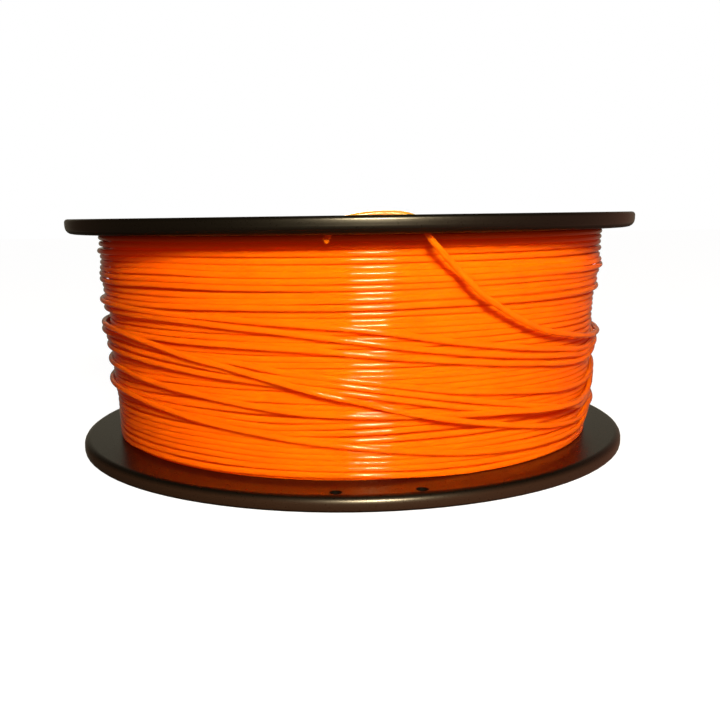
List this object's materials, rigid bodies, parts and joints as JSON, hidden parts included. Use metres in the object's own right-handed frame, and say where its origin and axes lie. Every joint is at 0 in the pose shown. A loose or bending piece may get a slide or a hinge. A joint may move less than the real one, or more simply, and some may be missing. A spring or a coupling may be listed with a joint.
{
  "type": "filament spool",
  "caption": "Flanged spool on a bored hub, wound with orange 3D printing filament whose free end is parked through rim holes in the upper flange.",
  "frame": {"origin": "centre of the lower flange's outer face, on the spool's axis", "axes": "+Z along the spool's axis from the lower to the upper flange; the parked free end of the filament faces -Y, and +X is to the right when it is seen from there"},
  "size_m": [0.2, 0.2, 0.0818],
  "materials": {
    "flange_plastic": "semi-gloss moulded black plastic with a fine grain",
    "core_plastic": "plain moulded black plastic",
    "filament": "smooth extruded orange plastic strand",
    "screw_steel": "zinc plated"
  },
  "bodies": {
    "spool": {"lower_flange": "flange_plastic", "upper_flange": "flange_plastic", "hub_core": "core_plastic", "core_barrel": "core_plastic", "flange_screw_lower_1": "screw_steel", "flange_screw_lower_2": "screw_steel", "flange_screw_lower_3": "screw_steel", "flange_screw_lower_4": "screw_steel", "flange_screw_lower_5": "screw_steel", "flange_screw_lower_6": "screw_steel", "flange_screw_upper_1": "screw_steel", "flange_screw_upper_2": "screw_steel", "flange_screw_upper_3": "screw_steel", "flange_screw_upper_4": "screw_steel", "flange_screw_upper_5": "screw_steel", "flange_screw_upper_6": "screw_steel", "filament_pack": "filament", "filament_lead": "filament", "filament_start": "filament"},
    "free_end": {"filament_tail": "filament"}
  },
  "joints": [
    {"name": "free_end_pull", "type": "slide", "parent": "spool", "child": "free_end", "axis": [0, 0, 1], "range_m": [0, 0.012]}
  ]
}
